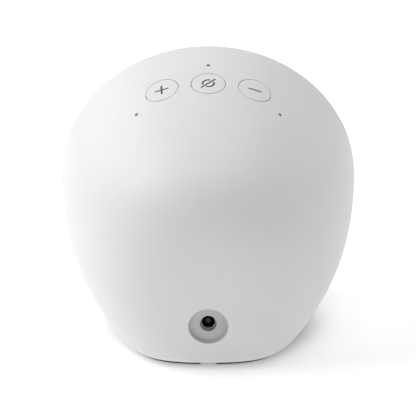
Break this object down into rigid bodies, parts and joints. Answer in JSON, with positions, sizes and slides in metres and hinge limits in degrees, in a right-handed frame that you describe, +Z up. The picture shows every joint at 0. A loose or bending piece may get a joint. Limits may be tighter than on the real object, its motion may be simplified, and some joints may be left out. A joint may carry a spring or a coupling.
{
  "type": "smart speaker",
  "caption": "Compact rounded smart speaker: fabric-faced tilted front, smooth white back shell with flush press buttons, microphone holes and a recessed power inlet.",
  "frame": {"origin": "on the surface it stands on, under the middle of its width and depth", "axes": "+Z up; the fabric face looks towards -Y and leans back 12.5 degrees; buttons and power inlet face +Y; +X is to the right when facing the fabric from in front"},
  "size_m": [0.099, 0.0822, 0.091],
  "materials": {
    "white_shell": "satin white polycarbonate with a very fine moulded texture",
    "base_grey": "fine matt texture",
    "foot_rubber": "matt silicone",
    "zinc_steel": "zinc plated",
    "grille_knit": "fine heather knit, stretched over the frame",
    "grille_plastic": "moulded, matt",
    "dark_plastic": "moulded, matt",
    "frosted_lens": "frosted light guide",
    "circuit_board": "solder mask over glass laminate",
    "led_package": "moulded lamp package",
    "black_rubber": "matt foam and butyl",
    "basket_paint": "baked black, satin",
    "cone_metal": "anodised, satin",
    "copper_coil": "enamelled copper wire",
    "spider_cloth": "resin stiffened woven cloth",
    "ferrite": "ground ferrite",
    "ivory_plastic": "moulded nylon",
    "chip_epoxy": "moulded, matt",
    "thermal_gel": "soft gap pad",
    "heat_sink_metal": "extruded",
    "copper_foil": "etched foil on film",
    "cable_jacket": "smooth jacket",
    "wire_red": "smooth jacket",
    "plated_pin": "nickel plated",
    "pale_bezel": "smooth moulded",
    "amber_film": "polyimide film",
    "bracket_plastic": "moulded, matt",
    "sign_grey": "matt inlay",
    "mic_can": "gold plated can"
  },
  "bodies": {
    "speaker": {"rear_shell": "white_shell", "base_plate": "base_grey", "rubber_foot": "foot_rubber", "base_screws": "zinc_steel", "grille_fabric": "grille_knit", "grille_frame": "grille_plastic", "front_baffle": "dark_plastic", "case_screws": "zinc_steel", "small_screws": "zinc_steel", "light_bar_lens": "frosted_lens", "light_bar_board": "circuit_board", "light_bar_leds": "led_package", "speaker_enclosure": "dark_plastic", "enclosure_seal": "black_rubber", "enclosure_cover": "dark_plastic", "driver_gasket": "black_rubber", "driver_basket": "basket_paint", "driver_screws": "zinc_steel", "driver_surround": "black_rubber", "driver_spider": "spider_cloth", "driver_top_plate": "zinc_steel", "driver_magnet": "ferrite", "driver_yoke": "zinc_steel", "speaker_terminal": "ivory_plastic", "main_board": "circuit_board", "shield_can": "zinc_steel", "processor_chip": "chip_epoxy", "thermal_pad": "thermal_gel", "memory_chips": "chip_epoxy", "heat_sink": "heat_sink_metal", "wireless_module": "zinc_steel", "capacitors": "heat_sink_metal", "board_connectors": "ivory_plastic", "antennas": "copper_foil", "antenna_cables": "cable_jacket", "hook_up_wires": "wire_red", "power_board": "circuit_board", "dc_jack_body": "chip_epoxy", "dc_jack_pin": "plated_pin", "inlet_bezel": "pale_bezel", "power_inductor": "ferrite", "button_flex": "amber_film", "switch_bodies": "chip_epoxy", "button_bracket": "bracket_plastic", "mic_seals": "black_rubber", "mic_boards": "circuit_board", "microphones": "mic_can"},
    "diaphragm": {"driver_cone": "cone_metal", "driver_dust_cap": "cone_metal", "driver_voice_coil": "copper_coil"},
    "volume_up": {"volume_up_cap": "white_shell", "volume_up_sign": "sign_grey"},
    "mute": {"mute_cap": "white_shell", "mute_sign_inlay": "sign_grey"},
    "volume_down": {"volume_down_cap": "white_shell", "volume_down_sign": "sign_grey"}
  },
  "joints": [
    {"name": "volume_up_press", "type": "slide", "parent": "speaker", "child": "volume_up", "axis": [-0.3087, -0.3519, -0.8837], "range_m": [0, 0.00035], "stiffness_N_per_m": 3000},
    {"name": "mute_press", "type": "slide", "parent": "speaker", "child": "mute", "axis": [0, -0.3609, -0.9326], "range_m": [0, 0.00035], "stiffness_N_per_m": 3000},
    {"name": "volume_down_press", "type": "slide", "parent": "speaker", "child": "volume_down", "axis": [0.3087, -0.3519, -0.8837], "range_m": [0, 0.00035], "stiffness_N_per_m": 3000},
    {"name": "diaphragm_travel", "type": "slide", "parent": "speaker", "child": "diaphragm", "axis": [0, -0.9763, 0.2164], "range_m": [-0.0015, 0.0015], "stiffness_N_per_m": 1500, "deforming": ["driver_surround", "driver_spider"]}
  ]
}
